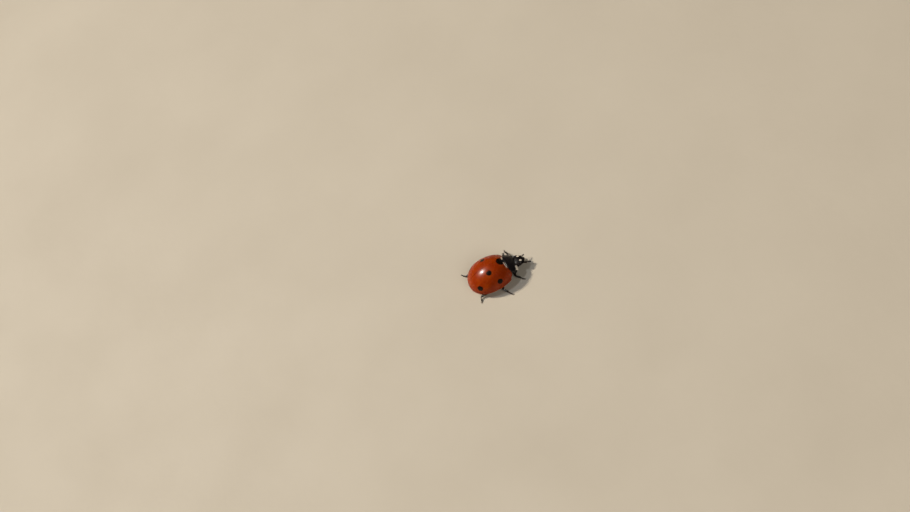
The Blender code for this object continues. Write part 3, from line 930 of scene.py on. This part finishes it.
# ---- legs
leg = {
    "hip": {"Root Radius": 0.16, "Tip Radius": 0.14, "Bulge": 0.04, "End Sharpness": 2.0, "Steps": 14},
    "thigh": {"Root Radius": 0.115, "Tip Radius": 0.105, "Bulge": 0.125, "Flatness": 0.74, "Steps": 30,
              "End Sharpness": 5.0},
    "shin": {"Root Radius": 0.080, "Tip Radius": 0.140, "Bulge": 0.022, "Flatness": 0.82, "Steps": 30,
             "End Sharpness": 7.0},
    "spur": {"Root Radius": 0.016, "Tip Radius": 0.003, "Steps": 6, "Sides": 7},
    "pads": {"Root Radius": 0.085, "Tip Radius": 0.125, "Bulge": 0.020, "Joints": 2, "Waist": 0.34,
             "Steps": 14, "Flatness": 0.62, "End Sharpness": 4.5},
    "clawJoint": {"Root Radius": 0.042, "Tip Radius": 0.066, "Steps": 14, "End Sharpness": 5.0},
    "hipReach": 0.16,
    "spurLength": 0.12,
    "spurShown": 0.8,       # the share of it past the ankle
    "spurAside": 0.05,
    "spurDrop": 0.02,
    "clawLength": 0.18,
    "clawRadius": 0.032,
    "clawHeight": 0.11,
    "clawSteps": 10,
    "clawSides": 8,
}


def bowed(start, end, rise, count=6):
    # a line from start to end that bows up a little in the middle
    bows = [rise * math.sin(math.pi * k / count) for k in range(count + 1)]
    return [start.lerp(end, k / count) + Vector((0, 0, bow)) for k, bow in enumerate(bows)]


def makeClaw(root, heading, outward):
    # a hook that curves down to the floor, with a blunt tooth at its base
    length, steps = leg["clawLength"], leg["clawSteps"]
    down = Vector((0, 0, -1))
    across = heading.cross(down).normalized()
    rings = []
    for k in range(steps + 1):
        share = k / steps
        middle = root + heading * length * share + outward * length * 0.42 * math.sin(share * 1.7)
        middle = middle + down * (root.z - 0.012) * share**2.2
        tooth = 1 + 0.5 * hill((share - 0.22) / 0.12)
        size = leg["clawRadius"] * (1 - share) ** 0.6 * tooth + 0.0015
        rings.append([middle + (across * a - down * b) * size for a, b in circle(leg["clawSides"])])
    return lofted(rings)


def makeLeg(index, name, legSkin, footSkin, clawHorn):
    femur, tibia, tarsus = (part + name for part in ("femur_", "tibia_", "tarsus_"))
    numbers = range(3 * index, 3 * index + 3)
    tiles = [tileAt(0.01 + 0.2 * (k % 5), 0.01 + 0.2 * (k // 5), 0.17) for k in numbers]
    knee = jointBetween(femur, tibia)
    ankle = jointBetween(tibia, tarsus)
    hip = farEnd(femur, knee).lerp(knee, 0.16)
    toeEnd = farEnd(tarsus, ankle)
    toeHeading = (toeEnd - ankle).normalized()
    flatHeading = Vector((toeHeading.x, toeHeading.y, 0)).normalized()
    aside = flatHeading.cross(Vector((0, 0, 1)))
    reach = Vector((toeEnd.x - ankle.x, toeEnd.y - ankle.y, 0)).length

    # coxa and trochanter at the hip, then the thigh and the shin with its spurs
    along = (knee - hip).normalized()
    down = (ankle - knee).normalized()
    hipLine = [hip - along * leg["hipReach"], hip, hip + along * leg["hipReach"]]
    hipBall = growLimb(hipLine, legSkin, leg["hip"])
    thigh = growLimb(bowed(hip, knee + along * 0.05, 0.02), legSkin, leg["thigh"], tiles[0])
    shin = growLimb(bowed(knee - down * 0.04, ankle + down * 0.02, 0.03), legSkin, leg["shin"], tiles[1])
    spurs = []
    for way in (-1, 1):
        base = ankle + aside * way * leg["spurAside"]
        tip = base + down * leg["spurLength"] * leg["spurShown"] + Vector((0, 0, -leg["spurDrop"]))
        spurs.append(growLimb([base, base.lerp(tip, 0.5), tip], clawHorn, leg["spur"]))

    # foot: two broad pads on the floor, a slender joint and two claws
    padHeight = leg["pads"]["Tip Radius"] * leg["pads"]["Flatness"]
    heights = {0.0: ankle.z, 0.22: ankle.z * 0.62, 0.42: padHeight * 1.15, 0.64: padHeight}
    floorPath = []
    for share, height in heights.items():
        spot = ankle + flatHeading * reach * share
        floorPath.append(Vector((spot.x, spot.y, height)))
    pads = growLimb(floorPath, footSkin, leg["pads"], tiles[2])
    clawRoot = ankle + flatHeading * (reach - leg["clawLength"] * 0.9)
    clawRoot.z = leg["clawHeight"]
    arch = floorPath[-1].lerp(clawRoot, 0.5) + Vector((0, 0, 0.03))
    slender = growLimb([floorPath[-1] - flatHeading * 0.06, arch, clawRoot], footSkin, leg["clawJoint"])
    claws = [makeClaw(clawRoot, flatHeading, aside * way) for way in (-1, 1)]
    for claw in claws:
        claw.materials.append(clawHorn)

    finishPiece("thigh_" + name, joined([hipBall, thigh.copy()], "thigh"), [femur])
    finishPiece("shin_" + name, joined([shin.copy(), *spurs], "shin"), [tibia])
    finishPiece("foot_" + name, joined([pads.copy(), slender, *claws], "foot"), [tarsus])
    return [
        growHairs(thigh, "thigh", along, 11 + index),
        growHairs(shin, "shin", down, 31 + index),
        growHairs(pads, "pads", flatHeading + Vector((0, 0, 0.2)), 51 + index),
    ]


# ---- the head, about the point midway between the eyes
eyeBoxes = {word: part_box("eye_" + word) for word in sides}
eyeMiddles = {word: toBody((low + high) / 2) for word, (low, high) in eyeBoxes.items()}
eyeSpan = eyeMiddles["right"] - eyeMiddles["left"]
headTurn = math.atan2(eyeSpan.y, eyeSpan.x)
headRotation = Matrix.Rotation(headTurn, 4, "Z")
headPlace = Matrix.Translation((eyeMiddles["left"] + eyeMiddles["right"]) / 2) @ headRotation
head = {
    # distance forward of the eyes, height of the middle line, half-width, height above it and below it
    "rings": [
        (-0.74, -0.10, 0.50, 0.30, 0.30),
        (-0.66, -0.09, 0.60, 0.33, 0.34),
        (-0.48, -0.07, 0.71, 0.37, 0.38),
        (-0.24, -0.05, 0.74, 0.42, 0.42),
        (0.00, -0.07, 0.70, 0.48, 0.47),
        (0.18, -0.10, 0.665, 0.485, 0.47),
        (0.34, -0.14, 0.60, 0.45, 0.43),
        (0.48, -0.20, 0.50, 0.385, 0.37),
        (0.58, -0.26, 0.43, 0.31, 0.28),
        (0.66, -0.32, 0.40, 0.22, 0.20),
        (0.72, -0.355, 0.37, 0.13, 0.13),
        (0.745, -0.37, 0.30, 0.05, 0.06),
    ],
    "power": 2.35,
    "sides": 40,
    "spot": (0.33, 0.21),           # the cream spots' place, mirrored
    "spotSize": (0.125, 0.175),
    "spotLow": (-0.02, 0.13),
    "faceGroove": 0.50,     # between the face and the plate above the lip, forward of the eyes
    "faceGrooveBow": 0.16,
    "grooveDepth": 0.020,
    "grooveWidth": 0.022,
    "browPlace": (0.44, 0.30, -0.05),   # the ridges over the feelers' roots
    "browSize": (0.16, 0.20, 0.12),
    "browHeight": 0.030,
}


def shapeFace(mesh):
    # presses in the groove over the lip plate and raises a ridge over each feeler's root
    inverse = headPlace.inverted()
    for vert, normal in zip(mesh.vertices, [v.normal.copy() for v in mesh.vertices]):
        x, y, z = inverse @ vert.co
        if z < -0.30 or y < 0:
            continue
        groove = hill((y - head["faceGroove"] + head["faceGrooveBow"] * (x / 0.5) ** 2) / head["grooveWidth"])
        brow = zip((abs(x), y, z), head["browPlace"], head["browSize"])
        reach = math.sqrt(sum(((part - middle) / size) ** 2 for part, middle, size in brow))
        vert.co += normal * (head["browHeight"] * hill(reach) - head["grooveDepth"] * groove)


def headRing(forward, middle, halfWidth, upper, lower):
    ring = []
    for across, up in circle(head["sides"]):
        x = halfWidth * boxier(across, 2 / head["power"])
        z = boxier(up, 2 / head["power"]) * (upper if up > 0 else lower)
        ring.append(headPlace @ Vector((x, forward, middle + z)))
    return ring


def headMarks(where):
    # two cream spots between the eyes
    spin = {"Vector": where, "Angle": -headTurn}
    turned = outputOf(where.id_data, "ShaderNodeVectorRotate", spin, rotation_type="Z_AXIS")
    x, y, z = separated(vectorMath("ADD", turned, headPlace.inverted().to_translation()))
    across, forward = head["spot"]
    wide, long = head["spotSize"]
    a = (x.size() - across) / wide
    b = (y - forward) / long
    reach = (a * a + b * b) ** 0.5 + (noise(where, 7.0) - 0.5) * 0.35
    return (1.0 - smoothBetween(reach, 0.86, 1.05)) * smoothBetween(z, *head["spotLow"])


def storeSkinPlace(mesh, sidesRound, left, low, size=0.17):
    # gives a lofted skin its place on the hairs' map: rings one way, round the ring the other
    attribute = mesh.attributes.new("skinPlace", "FLOAT_VECTOR", "POINT")
    rows = max(1, len(mesh.vertices) // sidesRound)
    for k, item in enumerate(attribute.data):
        row, corner = divmod(k, sidesRound)
        item.vector = (row / rows * size + left, corner / sidesRound * size + low, 0)
    return mesh


def makeHead(material):
    mesh = storeSkinPlace(lofted([headRing(*ring) for ring in head["rings"]]), head["sides"], 0.61, 0.61)
    mesh = subdivided(mesh, 2)
    shapeFace(mesh)
    hairs = growHairs(mesh, "head", headPlace.to_3x3() @ Vector((0, 1, -0.35)), 5)
    finishPiece("head_capsule", mesh, ["head"], material)
    return [hairs]


def makeEyeTree():
    # a ball of six-sided lenses, each one domed a little
    tree, given = newGeometryTree("eyeFacets", {"Dome": 0.012, "Finish": 0.70})
    ball = outputOf(tree, "GeometryNodeMeshIcoSphere", {"Radius": 1.0, "Subdivisions": 5})
    facets = outputOf(tree, "GeometryNodeDualMesh", {"Mesh": ball})
    raised = {"Mesh": facets, "Offset Scale": given["Dome"], "Individual": True}
    lens = addNode(tree, "GeometryNodeExtrudeMesh", raised, mode="FACES").outputs
    tops = {"Geometry": lens["Mesh"], "Selection": lens["Top"], "Scale": given["Finish"]}
    small = outputOf(tree, "GeometryNodeScaleElements", tops, domain="FACE")
    return endGeometryTree(small, given)


def makeEyes(eyeGloss, fill=0.96):
    tree = makeEyeTree()
    for word, (low, high) in eyeBoxes.items():
        mesh = turnOutwards(growWith(tree, None, eyeGloss))
        half = (high - low) / mm / 2 * fill
        mesh.transform(Matrix.Translation(eyeMiddles[word]) @ headRotation @ Matrix.Diagonal((*half, 1)))
        finishPiece("eye_ball_" + word, mesh, ["eye_" + word])


feeler = {
    "Root Radius": 0.052, "Tip Radius": 0.044, "Club": 0.046, "Club Start": 0.62, "Joints": 11,
    "Waist": 0.62, "Steps": 6, "Sides": 14, "End Sharpness": 9.0,
}
palp = {
    "Root Radius": 0.050, "Tip Radius": 0.075, "Club": 0.035, "Club Start": 0.62, "Joints": 3,
    "Waist": 0.55, "Steps": 10, "Sides": 14, "End Sharpness": 9.0,
}
jaw = {"Root Radius": 0.075, "Tip Radius": 0.020, "Bulge": 0.01, "Flatness": 0.6, "Steps": 16}
upperLip = {
    "steps": 8, "sides": 28, "width": 0.245, "thickness": 0.075, "start": -0.09, "length": 0.14,
    "notch": 0.03, "notchWidth": 0.25,
}


def makeFeelersAndMouth(feelerSkin, mouthSkin):
    hairs = []
    middle = headPlace.to_translation()
    for word, side in sides.items():
        path = centreLine("antenna_" + word, middle)
        tip = farEnd("antenna_" + word, path[0])
        tile = tileAt(0.45, 0.62 + 0.06 * side, 0.05)
        mesh = growLimb([*path, path[-1].lerp(tip, 0.8)], feelerSkin, feeler, tile)
        hairs.append(growHairs(mesh, "feeler", (tip - path[0]).normalized(), 71 + side))
        finishPiece("feeler_" + word, mesh, ["antenna_" + word])

        path = centreLine("palp_" + word, middle)
        tip = farEnd("palp_" + word, path[0])
        mesh = growLimb([*path, path[-1].lerp(tip, 0.5)], mouthSkin, palp)
        finishPiece("feeding_palp_" + word, mesh, ["palp_" + word])

        mesh = growLimb(centreLine("mandible_" + word, middle), mouthSkin, jaw)
        finishPiece("jaw_" + word, mesh, ["mandible_" + word])

    u = upperLip
    low, high = bodyBox("labrum")
    lipMiddle = headPlace.inverted() @ ((low + high) / 2)
    rings = []
    for k in range(u["steps"] + 1):
        share = k / u["steps"]
        taper = roundFall(share * 0.98, 2.6)
        forward = lipMiddle.y + u["start"] + u["length"] * share
        ring = []
        for across, up in circle(u["sides"]):
            notch = u["notch"] * share * hill(across / u["notchWidth"])
            rise = lipMiddle.z + u["thickness"] * taper * up
            ring.append(headPlace @ Vector((u["width"] * taper * across, forward - notch, rise)))
        rings.append(ring)
    finishPiece("upper_lip", lofted(rings), ["labrum"], mouthSkin)
    return hairs


# ---- the underside
trunk = {
    "sides": 72,
    "steps": 90,
    "bellyDepth": 0.36,
    "keelReach": 0.56,
    "cut": 0.54,
    "waist": 0.10,
    "thoraxFront": 2.44,
    "thoraxGrooves": [1.55, 0.75],
    "segments": 5,
    "grooveDepth": 0.035,
    "grooveWidth": 0.025,
    "slopeDepth": 0.012,    # the plates slope down to each groove
    "slopeReach": 0.25,
}
neck = {"steps": 30, "sides": 48, "narrow": 0.74, "height": 0.90, "rise": 0.04, "dip": 0.09}


def drawnIn(y, grooves):
    t = trunk
    return sum(
        t["grooveDepth"] * hill((y - groove) / t["grooveWidth"])
        + t["slopeDepth"] * max(0, 1 - abs(y - groove) / t["slopeReach"])
        for groove in grooves
    )


def bellyRing(y, drawn):
    # the room under the wing cases above, and a shallow keel below
    halfWidth = domeHalfWidth(y, trunk["cut"]) - drawn
    height = domeHeight(y, trunk["cut"]) - drawn
    keel = trunk["bellyDepth"] * roundFall(y / (trunk["keelReach"] * wingCase["length"]), 3.0)
    ring = []
    for across, up in circle(trunk["sides"]):
        if up >= 0:
            z = height * roundFall(across, wingCase["domePower"])
        else:
            z = (drawn - keel) * roundFall(across, 1.8)
        ring.append((halfWidth * across, y, wingCase["marginHeight"] + z))
    return ring


def makeUnderside(material):
    t = trunk
    rear = -wingCase["length"] / 2 + t["cut"]
    turns = [math.pi / 2 * k / (t["segments"] + 1) for k in range(1, t["segments"] + 1)]
    segmentEnds = [t["waist"] + (rear - t["waist"]) * math.sin(turn) for turn in turns]
    parts = {
        "thorax": (t["thoraxFront"], t["waist"] + 0.02, t["thoraxGrooves"]),
        "abdomen": (t["waist"], rear + 0.004, segmentEnds),
    }
    hairs = []
    for index, (node, (start, end, grooves)) in enumerate(parts.items()):
        stations = [start + (end - start) * k / t["steps"] for k in range(t["steps"] + 1)]
        mesh = lofted([bellyRing(y, drawnIn(y, grooves)) for y in stations])
        storeSkinPlace(mesh, t["sides"], 0.81, 0.01 + 0.2 * index)
        hairs.append(growHairs(mesh, "plates", (0, -1, -0.1), 91 + index))
        finishPiece(node + "_plates", mesh, [node], material)

    low, high = bodyBox("prothorax")
    middle, half = (low + high) / 2, (high - low) / 2
    rings = []
    for k in range(neck["steps"] + 1):
        share = 2 * k / neck["steps"] - 1
        swell = neck["narrow"] + (1 - neck["narrow"]) * roundFall(share * 0.9, 2.0)
        y = middle.y + half.y * share
        centre = middle.z + neck["rise"] - neck["dip"] * (share + 1)
        wide, tall = half.x * swell, half.z * neck["height"] * swell
        rings.append([(wide * across, y, centre + tall * up) for across, up in circle(neck["sides"])])
    mesh = storeSkinPlace(lofted(rings), neck["sides"], 0.81, 0.41)
    hairs.append(growHairs(mesh, "prothorax", (0, 0.2, -1), 95))
    finishPiece("prothorax_plates", mesh, ["prothorax"], material)
    return hairs


# ---- making everything
print("materials")
redShell = makeCaseShell()
shieldBlack = makeBlackShell("shieldBlack", shieldMarks)
headBlack = makeBlackShell("headBlack", headMarks, 0.46, 0.01, 0.003, 0.035)
plainBlack = makeBlackShell("plainBlack")
undersideBlack = makeBlackShell("undersideBlack", None, 0.42, 0.08, 0.006)
legSkin = makeLimbSkin("legSkin", (0.008, 0.006, 0.005), (0.022, 0.013, 0.008))
footSkin = makeLimbSkin("footSkin", (0.012, 0.008, 0.006), (0.040, 0.021, 0.010), 0.40)
feelerSkin = makeLimbSkin("feelerSkin", (0.045, 0.022, 0.010), (0.009, 0.006, 0.005), 0.42)
mouthSkin = makeLimbSkin("mouthSkin", (0.014, 0.008, 0.005), (0.060, 0.030, 0.012), 0.32)
hairSkin = makeHairSkin("hairSkin", (0.035, 0.022, 0.012), (0.130, 0.090, 0.055))
eyeGloss = makeHardSkin("eyeGloss")
clawHorn = makeHardSkin("clawHorn")

limbTree = makeLimbTree()
hairTree = makeHairTree()
print("shells")
makeWingCases(redShell)
makeScutellum(plainBlack)
makePronotum(shieldBlack)
print("legs")
legHairs = []
for index, name in enumerate(legNames):
    legHairs += makeLeg(index, name, legSkin, footSkin, clawHorn)
print("head and underside")
bodyHairs = makeHead(headBlack) + makeUnderside(undersideBlack)
makeEyes(eyeGloss)
bodyHairs += makeFeelersAndMouth(feelerSkin, mouthSkin)
finishPiece("leg_hairs", joined(legHairs, "legHairs"))
finishPiece("body_hairs", joined(bodyHairs, "bodyHairs"))


# ---- floor, lights and camera
floorLook = {"size": 1.2, "cells": 8, "colour": (0.60, 0.53, 0.42), "shade": (0.53, 0.465, 0.365)}


def makeFloor():
    material, where = newShader("paleFloor", onBody=False)
    cloud = noise(where, 60.0, 6.0)
    colour = mixColours(cloud, floorLook["colour"], floorLook["shade"])
    dressShader(colour, 0.75 + cloud * 0.15, {}, noise(where, 900.0, 5.0), 0.02)
    cells = floorLook["cells"]
    bpy.ops.mesh.primitive_grid_add(x_subdivisions=cells, y_subdivisions=cells, size=floorLook["size"])
    floor = bpy.context.object
    floor.name = "floor"
    floor.data.materials.append(material)


lights = {
    # direction towards the light, distance, size, power, colour, seen by glossy rays, seen by diffuse rays
    "key": ((-0.42, -0.61, 0.672), 1.40, 0.16, 20.0, (1.0, 0.93, 0.83), False, True),
    "sparkle": ((-0.225, -0.464, 0.856), 0.42, 0.030, 6.5, (1.0, 0.97, 0.90), True, False),
    "fill": ((0.72, 0.22, 0.66), 1.20, 0.80, 4.2, (1.0, 0.97, 0.93), False, True),
}
room = {"Color": (0.88, 0.92, 1.0, 1.0), "Strength": 0.055}


def makeLights():
    aim = Vector((0, 0, 0.0015))
    for name, (direction, distance, size, power, colour, glossy, diffuse) in lights.items():
        data = bpy.data.lights.new(name, "AREA")
        data.shape = "DISK"
        data.size = size
        data.energy = power
        data.color = colour
        lamp = addObject(name, data)
        lamp.location = aim + Vector(direction).normalized() * distance
        lamp.rotation_mode = "QUATERNION"
        lamp.rotation_quaternion = Vector(direction).to_track_quat("Z", "Y")
        lamp.visible_glossy = glossy
        lamp.visible_diffuse = diffuse
    world = bpy.data.worlds.new("softRoom")
    bpy.context.scene.world = world
    world.use_nodes = True
    for key, value in room.items():
        world.node_tree.nodes["Background"].inputs[key].default_value = value


camera = {
    "azimuth": 90.07,
    "elevation": 58.58,
    "roll": -26.75,
    "distance": 0.157,
    "lens": 50.0,
    "sensor": 36.0,
    "aside": 0.0367033,     # of the picture's width, from the body's middle to the picture's middle
    "above": -0.0226374,
}


def makeCamera():
    c = camera
    azimuth, elevation, roll = (math.radians(c[key]) for key in ("azimuth", "elevation", "roll"))
    level = math.cos(elevation)
    back = Vector((math.sin(azimuth) * level, -math.cos(azimuth) * level, math.sin(elevation)))
    right = Vector((math.cos(azimuth), math.sin(azimuth), 0))
    up = back.cross(right)
    rolledRight = right * math.cos(roll) + up * math.sin(roll)
    rolledUp = up * math.cos(roll) - right * math.sin(roll)
    data = bpy.data.cameras.new("camera")
    data.lens = c["lens"]
    data.sensor_width = c["sensor"]
    data.clip_start = 0.005
    data.clip_end = 5.0
    view = addObject("camera", data)
    bpy.context.scene.camera = view
    pictureWidth = c["distance"] * c["sensor"] / c["lens"]
    marginMiddle = Vector((0, middleOfBody.y * mm, wingCase["marginHeight"] * mm))
    # the camera's own axes turn until the body's middle stands off the picture's middle as it should
    straight = -back * c["distance"]
    towards = straight - (rolledRight * c["aside"] + rolledUp * c["above"]) * pictureWidth
    pose = Matrix((rolledRight, rolledUp, back)).transposed()
    view.rotation_mode = "QUATERNION"
    view.location = marginMiddle - straight
    view.rotation_quaternion = straight.rotation_difference(towards) @ pose.to_quaternion()


makeFloor()
makeLights()
makeCamera()
bpy.context.scene.view_settings.view_transform = "Standard"
